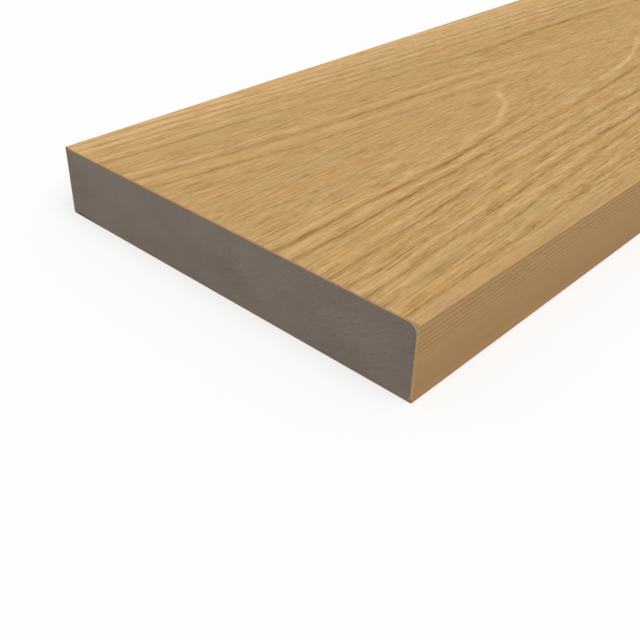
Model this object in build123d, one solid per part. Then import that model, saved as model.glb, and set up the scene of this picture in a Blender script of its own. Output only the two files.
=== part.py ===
from build123d import *
import os

# A capped composite decking board, lying with its deck face up.
# A solid core is wrapped on its four long sides by a thin cap, and both are sawn off square at the ends.
# X runs along the board, Y across it and Z up. The origin is the middle of the underside.

# Driving dimensions, in millimetres
board_length = 2400.0
board_width = 140.0
board_thickness = 23.0

deck_cap = 0.6            # cap over the deck face
underside_cap = 0.5       # cap under the core
edge_cap = 0.7            # cap over each long edge

board_top_radius = 0.5    # long edges of the cap, beside the deck face
board_bottom_radius = 0.6
core_top_radius = 2.8     # the core is rounder than the board, so the cap is thickest along its corners
core_bottom_radius = 1.8


def section(width, bottom, top, bottom_radius, top_radius):
    """A flat-sided section across the board, its upper and lower corners rounded apart."""
    outline = Pos(0, bottom) * Rectangle(width, top - bottom, align=(Align.CENTER, Align.MIN))
    outline = fillet(outline.vertices().group_by(Axis.Y)[-1], top_radius)
    return fillet(outline.vertices().group_by(Axis.Y)[0], bottom_radius)


def along_board(profile):
    """A section drawn out to the full length, half to each side of the origin."""
    return extrude(Plane.YZ * profile, amount=board_length / 2, both=True)


# The section of the whole board, and the core's section set in from it by the cap
board_section = section(board_width, 0, board_thickness, board_bottom_radius, board_top_radius)
core_section = section(
    board_width - 2 * edge_cap,
    underside_cap,
    board_thickness - deck_cap,
    core_bottom_radius,
    core_top_radius,
)

core = along_board(core_section)
cap = along_board(board_section - core_section)

os.makedirs("parts", exist_ok=True)
export_step(core, "parts/core.step")
export_step(cap, "parts/cap.step")
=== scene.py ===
import bpy
import math
import numpy as np
from mathutils import Matrix, Vector, noise


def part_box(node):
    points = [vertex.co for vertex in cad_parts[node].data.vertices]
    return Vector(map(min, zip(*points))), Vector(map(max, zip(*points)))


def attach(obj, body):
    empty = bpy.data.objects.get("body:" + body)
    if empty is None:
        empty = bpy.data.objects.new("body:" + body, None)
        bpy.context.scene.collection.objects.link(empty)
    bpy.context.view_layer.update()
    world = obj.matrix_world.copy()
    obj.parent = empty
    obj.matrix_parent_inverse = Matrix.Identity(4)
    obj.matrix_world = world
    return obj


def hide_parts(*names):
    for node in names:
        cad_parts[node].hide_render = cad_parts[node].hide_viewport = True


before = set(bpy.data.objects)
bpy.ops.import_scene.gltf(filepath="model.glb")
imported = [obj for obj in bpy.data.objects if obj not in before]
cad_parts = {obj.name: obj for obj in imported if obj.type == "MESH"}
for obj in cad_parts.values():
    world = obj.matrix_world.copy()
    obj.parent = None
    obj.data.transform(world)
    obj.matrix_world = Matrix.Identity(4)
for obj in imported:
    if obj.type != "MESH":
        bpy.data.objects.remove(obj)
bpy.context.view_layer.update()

mm = 0.001
boardLow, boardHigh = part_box("cap")
coreLow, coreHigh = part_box("core")
boardLength = (boardHigh.x - boardLow.x) / mm
boardWidth = (boardHigh.y - boardLow.y) / mm
boardTop = boardHigh.z / mm
halfWidth = boardWidth / 2
print(f"frame loaded: board {boardLength:.0f} x {boardWidth:.0f} x {boardTop:.1f} mm")


# helpers for meshes

def softNoise(along, across, patch, shift=0.0):
    # noise in patches, given by their two sizes and a seed
    length, width, seed = patch
    spots = zip(np.ravel(along / length), np.ravel(across / width))
    found = [noise.noise((float(a), float(b), seed + shift)) for a, b in spots]
    return np.array(found).reshape(np.shape(along))


def smoothStep(low, high, value):
    share = np.clip((value - low) / (high - low), 0.0, 1.0)
    return share * share * (3.0 - 2.0 * share)


def bell(value, middle, reach):
    return np.exp(-((value - middle) / reach) ** 2)


def byKey(table, values):
    return np.interp(values, list(table), list(table.values()))


def plateSpline(points, values, easing):
    # a smooth sheet through scattered values, given back as a function of place
    hair = 1e-9     # keeps the logarithm off zero

    def bend(places):
        gap = np.sum((places[:, None, :] - points[None, :, :]) ** 2, axis=-1)
        return gap * np.log(gap + hair)

    def level(places):
        return np.column_stack([np.ones(len(places)), places])

    corner = np.zeros((3, 3))
    stiff = bend(points) + easing * np.eye(len(points))
    system = np.block([[stiff, level(points)], [level(points).T, corner]])
    weights = np.linalg.solve(system, np.append(values, np.zeros(3)))
    return lambda places: np.hstack([bend(places), level(places)]) @ weights


def cornerArc(middle, radius, startAngle, endAngle, segments):
    angles = np.radians(np.linspace(startAngle, endAngle, segments + 1))
    return [(middle[0] + radius * math.cos(a), middle[1] + radius * math.sin(a)) for a in angles]


def cellsOf(table):
    # the four corners of every cell between neighbouring rows and columns
    cells = np.stack([table[:-1, :-1], table[:-1, 1:], table[1:, 1:], table[1:, :-1]], axis=2)
    return cells.reshape(-1, 4, *table.shape[2:])


def rimOf(table):
    # the outer ring of a table, from its top left corner over the top, down, back and up
    top = table[-1, :]
    right = table[::-1, -1]
    bottom = table[0, ::-1]
    left = table[:, 0]
    return np.concatenate([top[:-1], right[:-1], bottom[:-1], left[:-1]])


def zipRows(firstAt, secondAt):
    # triangles between two rows of points with different counts, the second row numbered after the first
    triangles = []
    lastFirst = len(firstAt) - 1
    lastSecond = len(secondAt) - 1
    i = 0
    j = 0
    while i < lastFirst or j < lastSecond:
        stepFirst = j == lastSecond or (i < lastFirst and firstAt[i + 1] <= secondAt[j + 1])
        here = (i, len(firstAt) + j)
        if stepFirst:
            i += 1
            triangles.append((here[0], i, here[1]))
        else:
            j += 1
            triangles.append((here[0], len(firstAt) + j, here[1]))
    return np.array(triangles)


def bareSkin():
    return {"faces": [], "mapped": [], "slots": []}


def cover(skin, corners, mapped, flip=False, slot=0):
    # adds faces by the point numbers of their corners, with the corners' places on the colour map
    order = slice(None, None, -1) if flip else slice(None)
    skin["faces"] += corners[:, order].tolist()
    skin["mapped"] += mapped[:, order].reshape(-1, 2).tolist()
    skin["slots"] += [slot] * len(corners)


def makePiece(name, points, skin, creaseAngle):
    points = points + (boardLow.x / mm, 0.0, 0.0)       # they were measured from the near end
    mesh = bpy.data.meshes.new(name)
    mesh.from_pydata((points * mm).tolist(), [], skin["faces"])
    mesh.polygons.foreach_set("material_index", skin["slots"])
    colourMap = mesh.uv_layers.new(name="OFBake", do_init=False)
    colourMap.uv.foreach_set("vector", np.ravel(skin["mapped"]))
    mesh.shade_smooth()
    mesh.set_sharp_from_angle(angle=math.radians(creaseAngle))
    piece = bpy.data.objects.new(name, mesh)
    bpy.context.scene.collection.objects.link(piece)
    return piece


def giveAttribute(piece, name, values):
    layer = piece.data.attributes.new(name, "FLOAT", "POINT")
    layer.data.foreach_set("value", np.asarray(values, np.float32))


# helpers for materials

noiseMiddle = 0.5       # value that the shaders' noise varies about


def addNode(tree, kind, inputs=None, **settings):
    made = tree.nodes.new("ShaderNode" + kind)
    for name, value in settings.items():
        setattr(made, name, value)
    for name, value in (inputs or {}).items():
        if isinstance(value, bpy.types.NodeSocket):
            tree.links.new(value, made.inputs[name])
        else:
            made.inputs[name].default_value = value
    return made


def calc(tree, operation, *values):
    return addNode(tree, "Math", dict(enumerate(values)), operation=operation).outputs[0]


def ramp(tree, value, fromLow, fromHigh, toLow=0.0, toHigh=1.0):
    inputs = {"Value": value, "From Min": fromLow, "From Max": fromHigh, "To Min": toLow, "To Max": toHigh}
    return addNode(tree, "MapRange", inputs, interpolation_type="SMOOTHSTEP").outputs["Result"]


def hump(tree, value, middle, reach):
    # 1 where the value is at the middle, falling softly to 0 at the reach on both sides
    gap = calc(tree, "ABSOLUTE", calc(tree, "SUBTRACT", value, middle))
    return ramp(tree, gap, 0.0, reach, 1.0, 0.0)


def layered(tree, layers):
    # sum of patterns, each given with its own middle value and its weight
    total = 0.0
    for pattern, middle, weight in layers:
        total = calc(tree, "MULTIPLY_ADD", calc(tree, "SUBTRACT", pattern, middle), weight, total)
    return total


def fromAttribute(tree, name):
    return addNode(tree, "Attribute", attribute_name=name).outputs["Fac"]


def inMillimetres(tree):
    place = addNode(tree, "TexCoord").outputs["Object"]
    return addNode(tree, "VectorMath", {0: place, "Scale": 1.0 / mm}, operation="SCALE").outputs[0]


def stretchedNoise(tree, vector, stretch, detail, roughness, shift):
    # noise whose patches are about as long as stretch says in x, y and z
    scale = tuple(1.0 / size for size in stretch)
    placing = {"Vector": vector, "Scale": scale, "Location": (shift, shift, shift)}
    placed = addNode(tree, "Mapping", placing).outputs[0]
    pattern = {"Vector": placed, "Scale": 1.0, "Detail": detail, "Roughness": roughness}
    return addNode(tree, "TexNoise", pattern).outputs["Fac"]


def mixColour(tree, share, first, second):
    sockets = {0: share, 6: first, 7: second}       # where the Mix node takes its share and two colours
    return addNode(tree, "Mix", sockets, data_type="RGBA").outputs[2]


def toneColour(tree, tone, colours):
    # deepest where the tone is -1, the body's own colour at 0 and palest at 1
    darker = mixColour(tree, calc(tree, "MULTIPLY", tone, -1.0), colours["body"], colours["deepest"])
    return mixColour(tree, tone, darker, colours["palest"])


def fromScreen(red, green, blue):
    # a colour as a screen shows it, 0 to 255, turned into the linear one that the shader takes
    def linear(level):
        share = level / 255.0
        return share / 12.92 if share <= 0.04045 else ((share + 0.055) / 1.055) ** 2.4

    return (linear(red), linear(green), linear(blue), 1.0)


def addBump(tree, heights, depth, strength=0.5):
    # fine relief for the light alone, its depth in millimetres
    inputs = {"Strength": strength, "Distance": depth * mm, "Height": heights}
    return addNode(tree, "Bump", inputs).outputs[0]


def newMaterial(name):
    material = bpy.data.materials.new(name)
    material.use_nodes = True
    material.node_tree.nodes.clear()
    return material, material.node_tree


def showSurface(tree, shader, output="OutputMaterial"):
    tree.links.new(shader.outputs[0], addNode(tree, output).inputs["Surface"])


# the core, sawn square at both ends, its sizes in millimetres

sawnCore = {
    "topRadius": 2.8,
    "bottomRadius": 1.8,
    "arcSegments": 10,
    "gridStep": 0.45,
    "creaseAngle": 40.0,
    "sawCentre": (-60.0, -150.0),       # of the blade, across and up from the middle of the underside
    "sawPitch": 1.9,
    "sawDepth": 0.02,
    "sawWaver": 3.0,                    # of the blade's arcs, in radians of their wave
    "waverPatch": (9.0, 9.0, 3.3),      # width, height and seed
    "sawPatch": (17.0, 17.0, 9.0),
    "sawFade": (-0.2, 0.5),             # noise that the arcs fade in between
    "sawFaintest": 0.3,                 # share of their depth outside the patches
    "strokeSlant": 38.0,                # of the fine saw strokes, from level
    "strokeSide": (10.0, -60.0, -0.1, 0.15),    # more of them on the right: two places and their shares
    "strokeFade": (0.4, 0.65, 0.2, 1.0),        # noise between which they fade in, and the shares there
    "roughFlour": (0.3, 0.7, 0.69, 0.85),       # roughness by the flour's noise
    "shine": 0.2,
    "bumpDepth": 0.08,
    # strips of the colour map, one above the other
    "strips": {
        "nearEnd": (0.0, 0.47),
        "farEnd": (0.48, 0.95),
        "sides": (0.96, 1.0),
    },
    "colours": {
        "deepest": fromScreen(112, 99, 90),
        "body": fromScreen(143, 129, 117),
        "palest": fromScreen(170, 157, 145),
    },
    # size along, across and up in millimetres, then detail, roughness and shift
    "noises": {
        "clouds": ((30.0, 30.0, 16.0), 2.0, 0.5, 0.0),
        "flour": ((1.1, 1.1, 1.1), 3.0, 0.7, 0.0),
        "strokes": ((40.0, 6.0, 0.5), 2.0, 0.6, 0.0),
        "patches": ((40.0, 22.0, 22.0), 1.0, 0.5, 5.0),
    },
    # weights of the patterns, in the tone and in the height of the bump
    "tones": {"clouds": 1.3, "flour": 0.85, "strokes": 0.9},
    "heights": {"flour": 1.0, "strokes": 1.2},
}


def coreOutline():
    # half widths of the core at a rising list of heights
    half = (coreHigh.y - coreLow.y) / mm / 2
    low = coreLow.z / mm
    high = coreHigh.z / mm
    footCentre = (half - sawnCore["bottomRadius"], low + sawnCore["bottomRadius"])
    headCentre = (half - sawnCore["topRadius"], high - sawnCore["topRadius"])
    foot = cornerArc(footCentre, sawnCore["bottomRadius"], -90, 0, sawnCore["arcSegments"])
    head = cornerArc(headCentre, sawnCore["topRadius"], 0, 90, sawnCore["arcSegments"])
    sideCount = round((head[0][1] - foot[-1][1]) / sawnCore["gridStep"])
    side = [(half, z) for z in np.linspace(foot[-1][1], head[0][1], sideCount + 1)[1:-1]]
    return foot + side + head


def coreGrid():
    # across and up of every point of a sawn end, as a table of heights by columns
    outline = coreOutline()
    columns = round(2 * max(w for w, z in outline) / sawnCore["gridStep"])
    shares = np.linspace(1.0, -1.0, columns + 1)
    across = np.array([[share * w for share in shares] for w, z in outline])
    up = np.array([[z] * len(shares) for w, z in outline])
    return across, up


def sawCut(across, up, end):
    # depth of the arcs that the blade left, none of it at the rim
    inside = np.zeros(across.shape)
    inside[1:-1, 1:-1] = 1.0
    reach = np.hypot(across - sawnCore["sawCentre"][0], up - sawnCore["sawCentre"][1])
    waver = sawnCore["sawWaver"] * softNoise(across, up, sawnCore["waverPatch"])
    marks = 0.5 + 0.5 * np.sin(2 * math.pi * reach / sawnCore["sawPitch"] + waver)
    patches = smoothStep(*sawnCore["sawFade"], softNoise(across, up, sawnCore["sawPatch"], end))
    faintest = sawnCore["sawFaintest"]
    return inside * sawnCore["sawDepth"] * marks * (faintest + (1.0 - faintest) * patches)


def makeCore():
    skin = bareSkin()
    across, up = coreGrid()
    height = np.linspace(0.0, 1.0, across.shape[0])
    points = []
    rims = []
    for end, strip in enumerate(("nearEnd", "farEnd")):
        cut = sawCut(across, up, end)
        x = cut if end == 0 else boardLength - cut
        ids = end * across.size + np.arange(across.size).reshape(across.shape)
        points.append(np.stack([x, across, up], axis=-1).reshape(-1, 3))
        low, high = sawnCore["strips"][strip]
        width = np.linspace(end, 1.0 - end, across.shape[1])
        v, u = np.meshgrid(low + (high - low) * height, width, indexing="ij")
        cover(skin, cellsOf(ids), cellsOf(np.stack([u, v], axis=-1)), flip=end == 1)
        rims.append(rimOf(ids))
    sides = np.stack([np.append(ring, ring[0]) for ring in rims])
    u, v = np.meshgrid((1.0, 0.0), np.linspace(*sawnCore["strips"]["sides"], sides.shape[1]), indexing="ij")
    cover(skin, cellsOf(sides), cellsOf(np.stack([u, v], axis=-1)))
    print(f"core sawn: {across.size} points on each end")
    return makePiece("sawn_core", np.concatenate(points), skin, sawnCore["creaseAngle"])


def coreMaterial():
    noises = sawnCore["noises"]
    material, tree = newMaterial("composite_core")
    place = inMillimetres(tree)
    across = addNode(tree, "SeparateXYZ", {0: place}).outputs[1]
    clouds = stretchedNoise(tree, place, *noises["clouds"])
    flour = stretchedNoise(tree, place, *noises["flour"])

    # fine slanting strokes in patches
    slant = {"Vector": place, "Rotation": (math.radians(sawnCore["strokeSlant"]), 0.0, 0.0)}
    slanted = addNode(tree, "Mapping", slant).outputs[0]
    strokes = stretchedNoise(tree, slanted, *noises["strokes"])
    patches = stretchedNoise(tree, place, *noises["patches"])
    patches = calc(tree, "ADD", patches, ramp(tree, across, *sawnCore["strokeSide"]))
    shown = ramp(tree, patches, *sawnCore["strokeFade"])
    stroked = calc(tree, "MULTIPLY", calc(tree, "SUBTRACT", strokes, noiseMiddle), shown)

    tone = layered(tree, [
        (clouds, noiseMiddle, sawnCore["tones"]["clouds"]),
        (flour, noiseMiddle, sawnCore["tones"]["flour"]),
        (stroked, 0.0, sawnCore["tones"]["strokes"]),
    ])
    heights = layered(tree, [
        (flour, noiseMiddle, sawnCore["heights"]["flour"]),
        (stroked, 0.0, sawnCore["heights"]["strokes"]),
    ])
    shader = addNode(tree, "BsdfPrincipled", {
        "Base Color": toneColour(tree, tone, sawnCore["colours"]),
        "Roughness": ramp(tree, flour, *sawnCore["roughFlour"]),
        "Specular IOR Level": sawnCore["shine"],
        "Normal": addBump(tree, heights, sawnCore["bumpDepth"]),
    })
    showSurface(tree, shader)
    return material


# the oak figure pressed into the deck face
# along is measured from the near end and across from the left edge, in millimetres

oak = {
    "heart": 67.0,              # line that the arches are nested about
    "heartDrift": 14.0,         # slow wander of that line further along
    "heartPatch": (330.0, 1.0, 3.1),    # patches of noise: length, width and seed
    "pithDepth": 49.0,          # centre of the rings below the deck, at the near end
    "pithRise": 19.0,
    "pithWave": 2500.0,
    "pithDrift": 5.0,
    "pithPatch": (330.0, 1.0, 8.6),
    "firstRing": 56.2,          # radius of ring 0
    "ringWidth": 3.6,
    "bandShare": 0.45,          # share of each ring's width that is pressed in as a band
    "drawnReach": 300.0,        # the bands drawn below hold up to here
    "drawnFade": 560.0,         # and have let go here
    "lengthSqueeze": 4.0,       # the sheet through them bends this much more slowly along the board
    "easing": 1.0,              # how far it may miss their points
    "leastSlope": 0.02,         # rings to a millimetre, so that no line spreads where they lie flat
    "wobble": 0.4,              # of the bands, to either side
    "wobblePatch": (60.0, 7.0, 5.3),
    "turnFade": (0.1, 0.5),     # a band's lines fade out where it turns straight across the board
    "chance": 0.55,             # how plainly a ring shows past the drawn bands, on the whole
    "chanceSpread": 0.9,
    "chancePatch": (1.0, 1.0, 11.7),
    "ringJump": 5.3,            # step in that noise from ring to ring
    "breakPatch": (110.0, 60.0, 2.4),   # of the breaks in the lines
    "breakJump": 222.0,         # step in that noise from ring to ring, in millimetres
    "breakFade": (-0.45, 0.3),
    "breakShare": 0.65,         # what a line keeps in a break
    "leanReach": 120.0,         # the fibres' lean near the end has faded to a third here
    "paleMargin": 13.0,         # width of the paler strip along the left edge
    "leftGrain": 0.9,           # how plainly fibres and pores show, from left to right
    "rightGrain": 1.03,
    "grainFade": (20.0, 95.0),
    "plainMargin": (6.0, 1.0),  # the smoother strip starts and is full this far from the right edge
    "plainShare": 0.5,
    "bandDepth": 0.12,          # of what is pressed in
    "bandFlank": 0.8,           # half the width of the bands' sloping sides
    "streakDepth": 0.05,
    "streakPatch": (60.0, 4.0, 7.7),
    "fibreDepth": 0.03,
    "fibrePatch": (22.0, 1.7, 4.2),
    "meanDepth": 0.09,
    "mostDepth": 0.4,
    "arrisFade": 2.0,           # the relief runs out over this width along both arrises

    # lean of the fibres at the near end, by the place across the board
    "lean": {0: 0.04, 25: 0.09, 45: 0.12, 67: 0.0, 95: -0.045, 120: -0.07, 140: -0.06},

    # how plainly each drawn band's dark side, in painted shade, and its pale side, a painted highlight,
    # show to the left and right of the heart
    "darkSides": {
        "left": {-1: 0.0, 0: 0.75, 1: 0.75, 2: 0.1, 3: 0.7, 4: 0.15, 5: 0.55, 6: 0.55, 7: 0.7, 8: 0.15,
                 9: 0.5},
        "right": {-1: 0.0, 0: 1.0, 1: 0.95, 2: 0.15, 3: 0.75, 4: 0.2, 5: 0.6, 6: 0.75, 7: 0.6, 8: 0.3},
    },
    "paleSides": {
        "left": {-1: 0.0, 0: 1.0, 1: 0.9, 2: 0.1, 3: 0.8, 4: 0.2, 5: 0.7, 6: 0.7, 7: 0.3, 8: 0.1, 9: 0.2},
        "right": {-1: 0.0, 0: 1.0, 1: 1.0, 2: 0.2, 3: 0.9, 4: 0.25, 5: 0.9, 6: 0.8, 7: 0.6, 8: 0.3},
    },

    # stretches of single rings to the left and right of the heart, as middle, ring and length
    # each set has a strength and a width in rings
    "boldDark": {
        "strength": 1.0,
        "width": 0.5,
        "left": [(215.0, 3.0, 75.0)],
        "right": [(75.0, 0.0, 70.0), (60.0, 1.0, 80.0), (15.0, 3.0, 20.0), (145.0, 5.0, 30.0),
                  (140.0, 6.0, 25.0)],
    },
    "faintDark": {
        "strength": 0.75,
        "width": 0.5,
        "left": [(172.0, 0.0, 18.0)],
        "right": [(160.0, 0.0, 24.0)],
    },
    # stretches where the painted highlight is stronger
    "boldPale": {
        "strength": 0.9,
        "width": 0.3,
        "left": [],
        "right": [(130.0, 0.0, 30.0), (225.0, 1.0, 35.0)],
    },
    "dullBands": {
        "strength": 0.4,
        "width": 0.9,
        "left": [(225.0, 3.0, 80.0)],
        "right": [],
    },
    "greyStreaks": {
        "strength": 1.0,
        "width": 0.22,
        "left": [(30.0, 2.5, 24.0), (72.0, 2.85, 28.0), (130.0, 3.3, 40.0), (205.0, 3.35, 50.0)],
        "right": [],
    },
}

# inner and outer side of each ring's band near the end, drawn from the left arm round to the right
drawnBands = {
    0: {
        "inner": [(0, 41.5), (24, 46), (50, 50.5), (87, 54.8), (130, 58.2), (150, 60.4), (153, 62.5),
                  (145, 66), (140, 70), (135, 75.5), (125, 80.3), (112, 84.4), (94, 86.8), (73, 88.9),
                  (42, 90), (0, 91.3)],
        "outer": [(0, 37.3), (24, 43), (59, 47.3), (98, 52), (130, 54.2), (157, 56.8), (172, 60.5),
                  (163, 67), (156, 71.5), (147, 79), (138, 84), (113, 87.7), (100, 89.5), (81, 91.2),
                  (42, 91.8), (0, 93.2)],
    },
    1: {
        "inner": [(0, 34.6), (24, 38), (43, 40.8), (72, 44.8), (109, 48), (150, 50.4), (180, 53.2),
                  (200, 55.8), (228, 61), (248, 66), (247, 72), (235, 76.5), (218, 82.5), (187, 86.3),
                  (165, 89), (125, 92.2), (92, 93.7), (58, 95), (20, 96), (0, 96.8)],
        "outer": [(0, 30.6), (26, 36), (61, 39.8), (98, 44), (130, 45.6), (163, 48.3), (187, 49.3),
                  (209, 52.5), (246, 57), (267, 60.5), (212, 90), (190, 91.5), (165, 93), (125, 95),
                  (90, 96.5), (52, 97.6), (21, 99), (0, 99.8)],
    },
    3: {
        "inner": [(0, 18.5), (35, 21.5), (72, 25.6), (122, 28.8), (152, 31.7), (183, 34.2), (222, 34.8),
                  (265, 36.5), (190, 99.5), (165, 101), (125, 102.5), (104, 103.8), (58, 105), (36, 106.2),
                  (0, 108)],
        "outer": [(50, 19.6), (76, 22.3), (98, 25), (122, 26.3), (152, 28.8), (182, 103.4), (150, 104),
                  (110, 105.8), (76, 107.1), (50, 108.6), (24, 110.9), (0, 112.2)],
    },
    5: {
        "inner": [(0, 10), (41, 12.7), (74, 14.8), (109, 18), (150, 19.8), (185, 22), (226, 22.9),
                  (267, 25), (168, 110.5), (150, 111.4), (112, 112.2), (85, 113.8), (46, 117.3), (0, 121)],
        "outer": [(162, 113.3), (125, 114.6), (99, 116.6), (71, 119), (38, 121.6), (10, 123.6)],
    },
    6: {
        "inner": [(28, 7.3), (54, 9.4), (91, 12), (122, 14.5), (170, 16.3), (217, 18.5), (265, 20.6),
                  (155, 116), (135, 116.9), (112, 119), (94, 121), (35, 124.6)],
        "outer": [(155, 118), (125, 120.3), (104, 122.7), (79, 124.9), (45, 127.3), (10, 128.8)],
    },
    7: {
        "inner": [(22, 3), (56, 5.4), (87, 8), (122, 10.4), (178, 12.3), (237, 14.5), (280, 17),
                  (125, 126.5), (87, 128.6), (0, 132.4)],
        "outer": [(125, 129.3), (94, 131), (73, 133), (33, 134.4), (0, 135.2)],
    },
    9: {
        "inner": [(122, 2.2), (190, 4.6), (241, 5.6)],
        "outer": [],
    },
}


def drawnHold(along):
    # 1 where the drawn bands hold, 0 where they have let go
    return 1.0 - smoothStep(oak["drawnReach"], oak["drawnFade"], along)


def pithRings(along, across):
    # rings cut by a plane that runs along a trunk whose centre rises and sinks
    later = 1.0 - drawnHold(along)
    heart = oak["heart"] + later * oak["heartDrift"] * softNoise(along, 0 * along, oak["heartPatch"])
    depth = oak["pithDepth"] + oak["pithRise"] * np.sin(2 * math.pi * along / oak["pithWave"])
    depth = depth + later * oak["pithDrift"] * softNoise(along, 0 * along, oak["pithPatch"])
    return (np.hypot(across - heart, depth) - oak["firstRing"]) / oak["ringWidth"]


def ringsAt(along, across):
    # those rings, bent near the end to run through the drawn bands
    drawn = []
    for ring, sides in drawnBands.items():
        drawn += [(*spot, ring) for spot in sides["inner"]]
        drawn += [(*spot, ring + oak["bandShare"]) for spot in sides["outer"]]
    drawn = np.array(drawn, float)
    squeezed = np.array([1.0 / oak["lengthSqueeze"], 1.0])
    offset = drawn[:, 2] - pithRings(drawn[:, 0], drawn[:, 1])
    mend = plateSpline(drawn[:, :2] * squeezed, offset, oak["easing"])
    places = np.column_stack([np.ravel(along), np.ravel(across)])
    return pithRings(along, across) + drawnHold(along) * mend(places * squeezed).reshape(along.shape)


def stretchesAt(name, along, across, rings):
    # how much of a set of stretches there is at each point
    stretches = oak[name]
    shown = np.zeros(along.shape)
    for side in ("left", "right"):
        onSide = (across < oak["heart"]) == (side == "left")
        for middle, ring, length in stretches[side]:
            here = bell(along, middle, length) * bell(rings, ring, stretches["width"])
            shown = np.maximum(shown, onSide * here)
    return stretches["strength"] * shown


def lineStrengthAt(along, across, lines, sides):
    # the lines, one at each whole number, come and go along the board
    hold = drawnHold(along)
    ring = np.round(lines)
    drawn = np.where(across < oak["heart"], byKey(sides["left"], ring), byKey(sides["right"], ring))
    luck = softNoise(ring * oak["ringJump"], 0 * along, oak["chancePatch"])
    chance = oak["chance"] + oak["chanceSpread"] * luck
    breaks = softNoise(along, across + ring * oak["breakJump"], oak["breakPatch"])
    kept = oak["breakShare"] + (1.0 - oak["breakShare"]) * smoothStep(*oak["breakFade"], breaks)
    return np.clip(hold * drawn + (1.0 - hold) * chance, 0.0, 1.0) * kept


def flowAt(along, across):
    # place across the grain: the fibres start with the lean of the rings and run straight further on
    reach = oak["leanReach"]
    return across - byKey(oak["lean"], across) * reach * (1.0 - np.exp(-along / reach))


def reliefAt(along, fromArris, grain):
    # depth below the deck face: a flat band pressed in along each ring, and finer streaks
    flank = oak["bandFlank"]
    toInner = (grain["rings"] - np.round(grain["rings"])) / grain["ringSlope"]
    outer = grain["rings"] - oak["bandShare"]
    toOuter = (outer - np.round(outer)) / grain["ringSlope"]
    band = smoothStep(-flank, flank, toInner) * (1.0 - smoothStep(-flank, flank, toOuter))
    bands = oak["bandDepth"] * band * np.minimum((grain["darkLine"] + grain["paleLine"]) / 2, 1.0)
    streaks = oak["streakDepth"] * softNoise(along, grain["flow"], oak["streakPatch"])
    fibres = oak["fibreDepth"] * softNoise(along, grain["flow"], oak["fibrePatch"])
    fade = smoothStep(0.0, oak["arrisFade"], fromArris)
    return fade * np.clip(oak["meanDepth"] + bands + streaks + fibres, 0.0, oak["mostDepth"])


def deckGrain(rows, columns):
    # all that the relief and the finish need to know of the grain at each point of the deck
    along, across = np.meshgrid(rows, columns, indexing="ij")
    rings = ringsAt(along, across)
    slopeAlong, slopeAcross = np.gradient(rings, rows, columns)
    slope = np.maximum(np.hypot(slopeAlong, slopeAcross), oak["leastSlope"])
    side = slopeAcross / slope
    rings = rings + oak["wobble"] * slope * softNoise(along, across, oak["wobblePatch"])

    # painted light and shade of the pressed bands: the side of a band that lies further left faces the
    # light and gets a painted highlight, the other one a dark line in painted shade
    darkRings = rings - oak["bandShare"] * (side > 0)
    paleRings = rings - oak["bandShare"] * (side < 0)
    shown = smoothStep(*oak["turnFade"], np.abs(side))
    dark = lineStrengthAt(along, across, darkRings, oak["darkSides"])
    dark = np.maximum(dark, stretchesAt("boldDark", along, across, darkRings))
    dark = dark * (1.0 - stretchesAt("faintDark", along, across, darkRings))
    light = lineStrengthAt(along, across, paleRings, oak["paleSides"])
    light = light + stretchesAt("boldPale", along, across, paleRings)

    pale = bell(across, 0.0, oak["paleMargin"]) - stretchesAt("dullBands", along, across, rings)
    rightShare = smoothStep(*oak["grainFade"], across)
    grained = oak["leftGrain"] + (oak["rightGrain"] - oak["leftGrain"]) * rightShare
    plainStart, plainFull = (boardWidth - margin for margin in oak["plainMargin"])
    grained = grained * (1.0 - oak["plainShare"] * smoothStep(plainStart, plainFull, across))
    return {
        "rings": rings,
        "ringSlope": slope,
        "side": np.sign(side),
        "darkRings": darkRings,
        "paleRings": paleRings,
        "darkLine": shown * dark,
        "paleLine": shown * light,
        "flow": flowAt(along, across),
        "greyTint": stretchesAt("greyStreaks", along, across, rings),
        "pale": pale,
        "grained": grained,
    }


# the cap: deck face, long edges and underside, wrapped round the core, its sizes in millimetres

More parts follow.
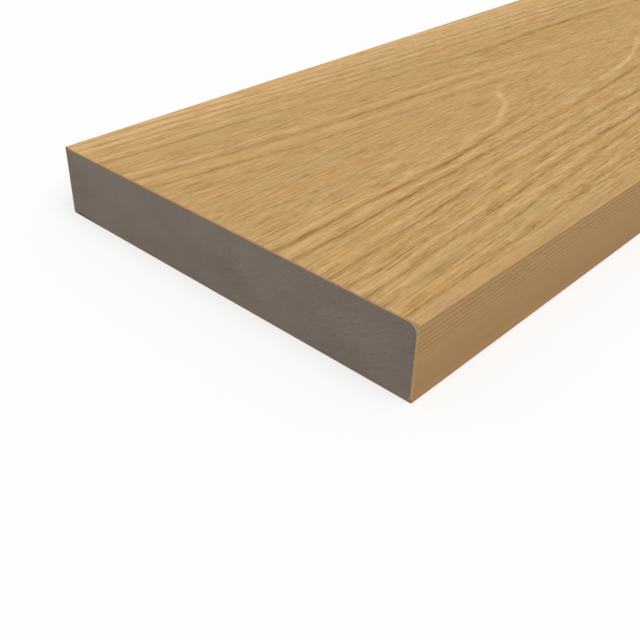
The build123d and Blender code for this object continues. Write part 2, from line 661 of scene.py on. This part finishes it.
grainCap = {
    "topRadius": 0.5,
    "bottomRadius": 0.6,
    "arcSegments": 4,
    "deckStep": 0.55,           # between the deck's lengthwise lines
    "nearReach": 345.0,         # close rows up to here, wider ones beyond
    "nearRow": 3.3,
    "farRow": 10.0,
    "edgeRows": 30,
    "edgeStep": 0.23,
    "undersideSteps": 8,
    "creaseAngle": 50.0,
    "combLines": (1.0, 2.7, 4.2, 5.5, 6.9, 8.2, 9.3, 10.3, 11.3, 12.3, 13.7, 15.0, 16.3, 17.7, 19.0, 20.4),
    "combReach": 0.45,
    "combDepth": 0.12,
    "combFade": (7.5, 11.0),    # below the deck, where the lines grow faint
    "combFoot": 0.18,           # share of their depth left lower down
    "edgeFlow": 200.0,          # sets the edges' fibres apart from the deck's
    "underFlow": 300.0,         # and those of the underside
    "offDeckGrain": 0.18,       # how plainly fibres and pores show there
    "paintedFootShade": -0.6,          # painted shade, darkening the edges towards their foot
    "paintedFootShadeFade": (4.0, 20.0),       # below the deck, from none of it to all
    "ragged": 0.5,              # of the lines along the bands, in millimetres
    "sway": 0.7,                # of the fibres to either side, in millimetres
    "greyTint": 0.55,           # share of grey in the figure's own grey streaks
    "smearLeft": (4.0, 0.5),    # flour on the sawn rim, from none to all, this far from the left edge
    "smearBelow": (1.6, 0.4),   # and this far from the underside
    "smearShare": 0.8,
    "sawnRoughness": 0.8,
    "shine": 0.05,
    "bumpDepth": 0.12,
    # strips of the colour map, one above the other, along the board's length or round its ends
    "strips": {
        "left": (0.0, 0.10),
        "deck": (0.10, 0.70),
        "right": (0.70, 0.80),
        "under": (0.81, 0.93),
        "inside": (0.94, 0.955),
        "nearEnd": (0.96, 0.978),
        "farEnd": (0.982, 1.0),
    },
    "colours": {
        "deepest": fromScreen(142, 102, 54),
        "body": fromScreen(188, 150, 99),
        "palest": fromScreen(219, 183, 131),
        "greyStreak": fromScreen(188, 160, 110),
        "warmStreak": fromScreen(203, 153, 88),
        "offDeck": fromScreen(194, 157, 120),
        "sawn": fromScreen(213, 179, 136),
        "smeared": fromScreen(136, 119, 99),
    },
    # size along and across the grain and up, then detail, roughness and shift
    "noises": {
        "sway": ((12.0, 3.0, 1.0), 1.0, 0.5, 12.0),
        "ragged": ((9.0, 0.8, 1.0), 2.0, 0.5, 0.0),
        "broken": ((16.0, 2.5, 1.0), 1.0, 0.5, 8.0),
        "streaks": ((150.0, 5.0, 1.0), 2.0, 0.5, 4.0),
        "fibres": ((34.0, 1.4, 1.0), 3.0, 0.6, 0.0),
        "threads": ((13.0, 0.85, 1.0), 0.0, 0.5, 7.0),
        "flecks": ((3.4, 0.85, 1.0), 1.0, 0.5, 5.0),
        "crowd": ((60.0, 9.0, 1.0), 1.0, 0.5, 3.0),
        "longPores": ((16.0, 0.5, 1.0), 1.0, 0.5, 1.0),
        "shortPores": ((6.5, 0.45, 1.0), 1.0, 0.5, 6.0),
        "grey": ((120.0, 6.0, 1.0), 1.0, 0.5, 9.0),
        "warm": ((60.0, 5.0, 1.0), 1.0, 0.5, 2.0),
        "specks": ((0.8, 0.8, 0.8), 2.0, 0.6, 0.0),
    },
    # two values of what each ramp reads, and what it gives there
    "ramps": {
        "broken": (0.38, 0.58, 0.65, 1.0),
        "crowdSide": (30.0, -50.0, -0.12, 0.08),    # more pores on the right
        "crowd": (0.32, 0.62, 0.35, 1.0),
        "pores": (0.60, 0.70, 0.0, 1.0),
        "grey": (0.5, 0.75, 0.0, 0.36),
        "warm": (0.5, 0.72, 0.0, 0.36),
        "offDeck": (0.25, 1.0, 0.3, 0.0),
        "roughness": (-0.6, 0.6, 0.76, 0.62),
        "specks": (0.2, 0.6, 0.0, 1.0),
    },
    # middle and reach of each line, in millimetres to the right of its side of the band; shade and glint
    # are a painted shade and a painted highlight beside the dark thread, pale is the painted highlight on
    # the band's lit side
    "lines": {
        "thread": (0.0, 0.85),
        "shade": (-0.5, 1.9),
        "glint": (2.2, 1.3),
        "pale": (-0.3, 1.8),
    },
    # means of the patterns that don't vary about the middle of the noise
    "means": {"pores": 0.06, "comb": 0.2},
    # weights of the patterns, in the tone and in the height of the bump
    "tones": {
        "thread": -0.49,
        "shade": -0.30,
        "glint": 0.12,
        "paleLine": 0.35,
        "paleMargin": 0.50,
        # painted shade in the grooves of the comb on the edges
        "comb": -0.16,
        "streaks": 0.27,
        "fibres": 0.26,
        "threads": 1.35,
        "flecks": 0.95,
        "longPores": -0.54,
        "shortPores": -0.46,
    },
    "heights": {"fibres": 1.0, "threads": 0.7, "pores": -0.5},
}


def boardRows():
    nearCount = round(grainCap["nearReach"] / grainCap["nearRow"])
    farCount = round((boardLength - grainCap["nearReach"]) / grainCap["farRow"])
    near = np.linspace(0.0, grainCap["nearReach"], nearCount + 1)
    far = np.linspace(grainCap["nearReach"], boardLength, farCount + 1)
    return np.concatenate([near, far[1:]])


def deckSection():
    # the deck with its two arrises, from left to right
    radius = grainCap["topRadius"]
    half = halfWidth - radius
    count = round(2 * half / grainCap["deckStep"])
    leftArris = cornerArc((half, boardTop - radius), radius, 0, 90, grainCap["arcSegments"])
    flat = [(y, boardTop) for y in np.linspace(half, -half, count + 1)[1:-1]]
    rightArris = [(-y, z) for y, z in reversed(leftArris)]
    return np.array(leftArris + flat + rightArris)


def leftEdgeSection():
    # the left edge below the deck's arris, down round the foot
    high = boardTop - grainCap["topRadius"]
    low = grainCap["bottomRadius"]
    levels = np.linspace(high, low, round((high - low) / grainCap["edgeStep"]) + 1)
    foot = cornerArc((halfWidth - low, low), low, 0, -90, grainCap["arcSegments"])
    return np.array([(halfWidth, level) for level in levels[1:]] + foot[1:])


def combShare(y, z):
    # 1 in the middle of each fine line of the edges, less for the lines lower down
    fall = boardTop - z
    lines = np.max([bell(fall, line, grainCap["combReach"]) for line in grainCap["combLines"]], axis=0)
    fade = 1.0 + (grainCap["combFoot"] - 1.0) * smoothStep(*grainCap["combFade"], fall)
    onEdge = np.isclose(np.abs(y), halfWidth) & (z > grainCap["bottomRadius"])
    return np.where(onEdge, lines * fade, 0.0)


def roundTheBoard(y, z):
    # how far round the section a point lies, clockwise from the top left as seen from the near end
    half = boardTop / 2
    straight = halfWidth - half
    rise = z - half
    angle = np.arctan2(rise, np.abs(y) - straight)
    top = straight - y
    right = 2 * straight + half * (math.pi / 2 - angle)
    bottom = 2 * straight + half * math.pi + straight + y
    left = 4 * straight + half * (math.pi + math.pi / 2 + angle)
    flat = np.where(rise > 0, top, bottom)
    way = np.where(np.abs(y) > straight, np.where(y < 0, right, left), flat)
    return way, 4 * straight + 2 * math.pi * half


def stripPlaces(rows, shares, strip):
    # places on the colour map: rows along the board, shares across the strip
    low, high = grainCap["strips"][strip]
    lengthwise = 1.0 - np.asarray(rows) / boardLength
    u, v = np.meshgrid(lengthwise, low + (high - low) * np.asarray(shares), indexing="ij")
    return np.stack([u, v], axis=-1)


def joinRows(skin, first, second, flip=False):
    # closes the seam between two lengthwise lines, each given as point numbers, rows and map places
    triangles = zipRows(first[1], second[1])
    ids = np.append(first[0], second[0])
    places = np.concatenate([first[2], second[2]])
    cover(skin, ids[triangles], places[triangles], flip)


def closeEnd(skin, points, outer, inner, strip, flip):
    # the sawn end of the cap, between its outer ring and the core's
    low, high = grainCap["strips"][strip]
    ids = []
    ways = []
    places = []
    for ring, level in ((outer, low), (inner, high)):
        way, turn = roundTheBoard(points[ring, 1], points[ring, 2])
        order = np.argsort(way)
        order = np.append(order, order[0])
        way = np.sort(way)
        way = np.append(way, way[0] + turn)
        ids.append(ring[order])
        ways.append(way)
        u = (way - way[0]) / turn
        places.append(np.column_stack([1.0 - u if flip else u, np.full(len(way), level)]))
    triangles = zipRows(*ways)
    cover(skin, np.concatenate(ids)[triangles], np.concatenate(places)[triangles], flip, slot=1)


def pressDeck(skin):
    # the deck and its arrises, with the figure pressed in
    rows = boardRows()
    section = deckSection()
    columns = halfWidth - section[:, 0]
    grain = deckGrain(rows, columns)
    along, across = np.meshgrid(rows, columns, indexing="ij")
    fromArris = np.minimum(across, boardWidth - across) - grainCap["topRadius"]
    y = np.broadcast_to(section[:, 0], along.shape)
    z = section[:, 1] - reliefAt(along, fromArris, grain)
    points = np.stack([along, y, z], axis=-1).reshape(-1, 3)
    ids = np.arange(along.size).reshape(along.shape)
    places = stripPlaces(rows, columns / boardWidth, "deck")
    cover(skin, cellsOf(ids), cellsOf(places))
    del grain["rings"]      # only the relief needs it
    grain["comb"] = np.zeros(along.shape)
    print(f"deck pressed: {len(rows)} rows of {len(columns)} points")
    return {"rows": rows, "points": points, "ids": ids, "places": places, "grain": grain}


def combEdges(skin, deck):
    # the two edges and the underside between them, on fewer rows than the deck
    leftEdge = leftEdgeSection()
    foot = leftEdge[-1, 0]
    under = np.array([(y, 0.0) for y in np.linspace(foot, -foot, grainCap["undersideSteps"] + 1)[1:-1]])
    section = np.concatenate([leftEdge, under, leftEdge[::-1] * (-1, 1)])
    picked = np.linspace(0, len(deck["rows"]) - 1, grainCap["edgeRows"] + 1).round().astype(int)
    rows = deck["rows"][np.unique(picked)]
    along, y = np.meshgrid(rows, section[:, 0], indexing="ij")
    z = np.broadcast_to(section[:, 1], y.shape)
    comb = combShare(y, z)
    combedY = y - np.sign(y) * grainCap["combDepth"] * comb
    points = np.stack([along, combedY, z], axis=-1).reshape(-1, 3)
    ids = len(deck["points"]) + np.arange(along.size).reshape(along.shape)

    # left edge, underside and right edge, then the seams along the deck
    count = len(leftEdge)
    drop = np.linspace(0.0, 1.0, count + 1)[1:]
    leftPlaces = stripPlaces(rows, 1.0 - drop, "left")
    rightPlaces = stripPlaces(rows, drop[::-1], "right")
    underPlaces = stripPlaces(rows, np.linspace(1.0, 0.0, len(under) + 2), "under")
    cover(skin, cellsOf(ids[:, :count]), cellsOf(leftPlaces), flip=True)
    cover(skin, cellsOf(ids[:, count - 1:1 - count]), cellsOf(underPlaces), flip=True)
    cover(skin, cellsOf(ids[:, -count:]), cellsOf(rightPlaces), flip=True)
    deckLeft = (deck["ids"][:, 0], deck["rows"], deck["places"][:, 0])
    deckRight = (deck["ids"][:, -1], deck["rows"], deck["places"][:, -1])
    joinRows(skin, deckLeft, (ids[:, 0], rows, leftPlaces[:, 0]))
    joinRows(skin, deckRight, (ids[:, -1], rows, rightPlaces[:, -1]), flip=True)

    # straight, faint fibres, and a painted shade that darkens the edges towards their foot
    onEdge = np.abs(y) > halfWidth - grainCap["bottomRadius"]
    paintedShadeShare = np.where(onEdge, smoothStep(*grainCap["paintedFootShadeFade"], boardTop - z), 0.0)
    grain = {
        "ringSlope": 1.0,
        "flow": np.where(onEdge, grainCap["edgeFlow"] + z, grainCap["underFlow"] + y),
        "grained": grainCap["offDeckGrain"],
        # on the edges the pale value is that painted shade
        "pale": grainCap["paintedFootShade"] * paintedShadeShare,
        "comb": comb,
    }
    print(f"edges combed: {count} points high, {len(rows)} rows")
    return {"points": points, "ids": ids, "grain": grain}


def makeCap():
    skin = bareSkin()
    deck = pressDeck(skin)
    lower = combEdges(skin, deck)

    # the inside against the core, and the two sawn ends
    innerY, innerZ = (rimOf(table) for table in coreGrid())
    ends = (0.0, boardLength)
    inner = np.concatenate([np.column_stack([np.full(len(innerY), x), innerY, innerZ]) for x in ends])
    points = np.concatenate([deck["points"], lower["points"], inner])
    innerIds = np.arange(len(points) - len(inner), len(points)).reshape(2, -1)
    closed = np.concatenate([innerIds, innerIds[:, :1]], axis=1)
    innerPlaces = stripPlaces(ends, np.linspace(1.0, 0.0, closed.shape[1]), "inside")
    cover(skin, cellsOf(closed), cellsOf(innerPlaces), flip=True)
    nearRing = np.append(deck["ids"][0], lower["ids"][0])
    farRing = np.append(deck["ids"][-1], lower["ids"][-1])
    closeEnd(skin, points, nearRing, innerIds[0], "nearEnd", flip=True)
    closeEnd(skin, points, farRing, innerIds[1], "farEnd", flip=False)
    piece = makePiece("grain_cap", points, skin, grainCap["creaseAngle"])

    # what the finish reads at each point
    for name, onDeck in deck["grain"].items():
        below = np.broadcast_to(lower["grain"].get(name, 0.0), lower["ids"].shape)
        giveAttribute(piece, name, np.concatenate([onDeck.ravel(), below.ravel(), np.zeros(len(inner))]))
    return piece


def capNoise(tree, vector, name):
    return stretchedNoise(tree, vector, *grainCap["noises"][name])


def capRamp(tree, value, name):
    return ramp(tree, value, *grainCap["ramps"][name])


def ringLines(tree, grain):
    # along each band, painted light and shade of its relief: on one side the grain's dark thread in a soft
    # painted shade with a faint painted glint beside it, on the other a painted pale highlight
    tones = grainCap["tones"]
    slope = fromAttribute(tree, "ringSlope")
    side = fromAttribute(tree, "side")
    ragged = calc(tree, "SUBTRACT", capNoise(tree, grain, "ragged"), noiseMiddle)

    def offset(name):
        # millimetres to the right of the nearest line
        lines = fromAttribute(tree, name)
        gap = calc(tree, "DIVIDE", calc(tree, "SUBTRACT", lines, calc(tree, "ROUND", lines)), slope)
        return calc(tree, "MULTIPLY_ADD", ragged, grainCap["ragged"], calc(tree, "MULTIPLY", gap, side))

    def line(name, away, strength):
        return calc(tree, "MULTIPLY", hump(tree, away, *grainCap["lines"][name]), strength)

    fromDark = offset("darkRings")
    dark = fromAttribute(tree, "darkLine")
    broken = capRamp(tree, capNoise(tree, grain, "broken"), "broken")
    pale = line("pale", offset("paleRings"), fromAttribute(tree, "paleLine"))
    return layered(tree, [
        (line("thread", fromDark, calc(tree, "MULTIPLY", broken, dark)), 0.0, tones["thread"]),
        (line("shade", fromDark, dark), 0.0, tones["shade"]),
        (line("glint", fromDark, dark), 0.0, tones["glint"]),
        (pale, 0.0, tones["paleLine"]),
        # on the edges the pale attribute holds a painted shade towards their foot
        (fromAttribute(tree, "pale"), 0.0, tones["paleMargin"]),
        # painted shade in the comb's grooves
        (fromAttribute(tree, "comb"), grainCap["means"]["comb"], tones["comb"]),
    ])


def grainTexture(tree, grain, acrossBoard):
    # streaks, fibres and pores that follow the grain, as shades and as heights
    tones = grainCap["tones"]
    levels = grainCap["heights"]
    poreMean = grainCap["means"]["pores"]
    streaks = capNoise(tree, grain, "streaks")
    fibres = capNoise(tree, grain, "fibres")
    threads = capNoise(tree, grain, "threads")
    flecks = capNoise(tree, grain, "flecks")
    crowd = calc(tree, "ADD", capNoise(tree, grain, "crowd"), capRamp(tree, acrossBoard, "crowdSide"))
    crowded = capRamp(tree, crowd, "crowd")

    def pores(name):
        return calc(tree, "MULTIPLY", capRamp(tree, capNoise(tree, grain, name), "pores"), crowded)

    longPores = pores("longPores")
    shortPores = pores("shortPores")
    shades = layered(tree, [
        (streaks, noiseMiddle, tones["streaks"]),
        (fibres, noiseMiddle, tones["fibres"]),
        (threads, noiseMiddle, tones["threads"]),
        (flecks, noiseMiddle, tones["flecks"]),
        (longPores, poreMean, tones["longPores"]),
        (shortPores, poreMean, tones["shortPores"]),
    ])
    heights = layered(tree, [
        (fibres, noiseMiddle, levels["fibres"]),
        (threads, noiseMiddle, levels["threads"]),
        (longPores, 0.0, levels["pores"]),
        (shortPores, 0.0, levels["pores"]),
    ])
    return shades, heights


def capMaterial():
    colours = grainCap["colours"]
    material, tree = newMaterial("oak_cap")
    apart = addNode(tree, "SeparateXYZ", {0: inMillimetres(tree)}).outputs

    # along the board and across the fibres, which sway a little
    flow = fromAttribute(tree, "flow")
    straight = addNode(tree, "CombineXYZ", {0: apart[0], 1: flow}).outputs[0]
    sway = calc(tree, "SUBTRACT", capNoise(tree, straight, "sway"), noiseMiddle)
    wavering = calc(tree, "MULTIPLY_ADD", sway, grainCap["sway"], flow)
    grain = addNode(tree, "CombineXYZ", {0: apart[0], 1: wavering}).outputs[0]

    grained = fromAttribute(tree, "grained")
    shades, heights = grainTexture(tree, grain, apart[1])
    tone = calc(tree, "MULTIPLY_ADD", shades, grained, ringLines(tree, grain))
    toned = toneColour(tree, tone, colours)

    # grey and warm streaks over that, and a plainer colour off the deck
    grey = capRamp(tree, capNoise(tree, grain, "grey"), "grey")
    grey = calc(tree, "MULTIPLY_ADD", fromAttribute(tree, "greyTint"), grainCap["greyTint"], grey)
    greyed = mixColour(tree, calc(tree, "MULTIPLY", grey, grained), toned, colours["greyStreak"])
    warm = capRamp(tree, capNoise(tree, grain, "warm"), "warm")
    warmed = mixColour(tree, warm, greyed, colours["warmStreak"])
    shader = addNode(tree, "BsdfPrincipled", {
        "Base Color": mixColour(tree, capRamp(tree, grained, "offDeck"), warmed, colours["offDeck"]),
        "Roughness": capRamp(tree, tone, "roughness"),
        "Specular IOR Level": grainCap["shine"],
        "Normal": addBump(tree, heights, grainCap["bumpDepth"]),
    })
    showSurface(tree, shader)
    return material


def sawnCapMaterial():
    # the same plastic where the blade went through it
    colours = grainCap["colours"]
    material, tree = newMaterial("sawn_cap")
    place = inMillimetres(tree)
    apart = addNode(tree, "SeparateXYZ", {0: place}).outputs
    specks = capRamp(tree, capNoise(tree, place, "specks"), "specks")
    clean = mixColour(tree, specks, colours["body"], colours["sawn"])

    # the blade has dragged flour of the core over the rim on the left and below
    left = ramp(tree, apart[1], *(halfWidth - margin for margin in grainCap["smearLeft"]))
    below = ramp(tree, apart[2], *grainCap["smearBelow"])
    smear = calc(tree, "MULTIPLY", calc(tree, "MAXIMUM", left, below), grainCap["smearShare"])
    shader = addNode(tree, "BsdfPrincipled", {
        "Base Color": mixColour(tree, smear, clean, colours["smeared"]),
        "Roughness": grainCap["sawnRoughness"],
        "Specular IOR Level": grainCap["shine"],
    })
    showSurface(tree, shader)
    return material


# the studio: pale floor, even soft light, one soft key from above the camera's right, in metres

studio = {
    "floorSize": 60.0,
    "floorDrop": 0.0001,
    "floorColour": (0.45, 0.45, 0.45, 1.0),
    "floorLift": 0.53,          # brings the open floor up to white for the camera
    "skyColour": (1.0, 1.0, 1.0, 1.0),
    "skyLevel": 0.48,           # of the light that the sky gives
    "skySeen": 1.0,             # of the sky itself, seen by the camera
    "keyLevel": 0.55,           # light that the key adds on a level face
    "keyFrom": (-0.14, -0.38, 0.9),
    "keySpread": 50.0,
}


def seenByEye(tree):
    # 1 for rays from the camera and for what shows in gloss or glass
    path = addNode(tree, "LightPath")
    gloss = calc(tree, "MAXIMUM", path.outputs["Is Glossy Ray"], path.outputs["Is Transmission Ray"])
    return calc(tree, "MAXIMUM", path.outputs["Is Camera Ray"], gloss)


def makeFloor():
    half = studio["floorSize"] / 2
    corners = [(-half, -half, 0), (half, -half, 0), (half, half, 0), (-half, half, 0)]
    mesh = bpy.data.meshes.new("studio_floor")
    mesh.from_pydata(corners, [], [(0, 1, 2, 3)])
    floor = bpy.data.objects.new("studio_floor", mesh)
    floor.location.z = boardLow.z - studio["floorDrop"]
    bpy.context.scene.collection.objects.link(floor)
    material, tree = newMaterial("floor_white")
    matte = addNode(tree, "BsdfDiffuse", {"Color": studio["floorColour"]})
    lift = calc(tree, "MULTIPLY", seenByEye(tree), studio["floorLift"])
    glow = addNode(tree, "Emission", {"Strength": lift})
    both = addNode(tree, "AddShader", {0: matte.outputs[0], 1: glow.outputs[0]})
    showSurface(tree, both)
    mesh.materials.append(material)


def makeLight():
    world = bpy.data.worlds.new("studio_sky")
    world.use_nodes = True
    tree = world.node_tree
    tree.nodes.clear()
    levels = {"Value": seenByEye(tree), "To Min": studio["skyLevel"], "To Max": studio["skySeen"]}
    level = addNode(tree, "MapRange", levels).outputs["Result"]
    sky = addNode(tree, "Background", {"Color": studio["skyColour"], "Strength": level})
    showSurface(tree, sky, "OutputWorld")
    bpy.context.scene.world = world

    lamp = bpy.data.lights.new("key", "SUN")
    towards = Vector(studio["keyFrom"]).normalized()
    lamp.energy = math.pi * studio["keyLevel"] / towards.z
    lamp.angle = math.radians(studio["keySpread"])
    key = bpy.data.objects.new("key", lamp)
    key.rotation_mode = "QUATERNION"
    key.rotation_quaternion = towards.to_track_quat("Z", "Y")
    bpy.context.scene.collection.objects.link(key)


cameraPose = {
    "fromCorner": (-0.1353, -0.2312, 0.1110),   # from the near left corner of the deck, in metres
    "heading": 41.95,                           # turned from the board's length to its left
    "pitch": 34.32,
    "roll": 1.64,
    "lens": 49.0,
    "sensor": 36.0,
    "nearest": 0.01,                            # nothing closer is seen
}


def makeCamera():
    data = bpy.data.cameras.new("photo_camera")
    data.lens = cameraPose["lens"]
    data.sensor_width = cameraPose["sensor"]
    data.clip_start = cameraPose["nearest"]
    camera = bpy.data.objects.new("photo_camera", data)
    corner = Vector((boardLow.x, boardHigh.y, boardHigh.z))
    turn = Matrix.Rotation(math.radians(cameraPose["heading"] - 90.0), 4, "Z")
    tilt = Matrix.Rotation(math.radians(90.0 - cameraPose["pitch"]), 4, "X")
    lean = Matrix.Rotation(math.radians(cameraPose["roll"]), 4, "Z")
    camera.matrix_world = Matrix.Translation(corner + Vector(cameraPose["fromCorner"])) @ turn @ tilt @ lean
    bpy.context.scene.collection.objects.link(camera)
    bpy.context.scene.camera = camera


cap = makeCap()
cap.data.materials.append(capMaterial())
cap.data.materials.append(sawnCapMaterial())
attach(cap, "root")
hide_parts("cap")

core = makeCore()
core.data.materials.append(coreMaterial())
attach(core, "root")
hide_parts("core")
print("cap and core dressed")

makeFloor()
makeLight()
makeCamera()
bpy.context.scene.view_settings.view_transform = "Standard"
print("studio and camera set")
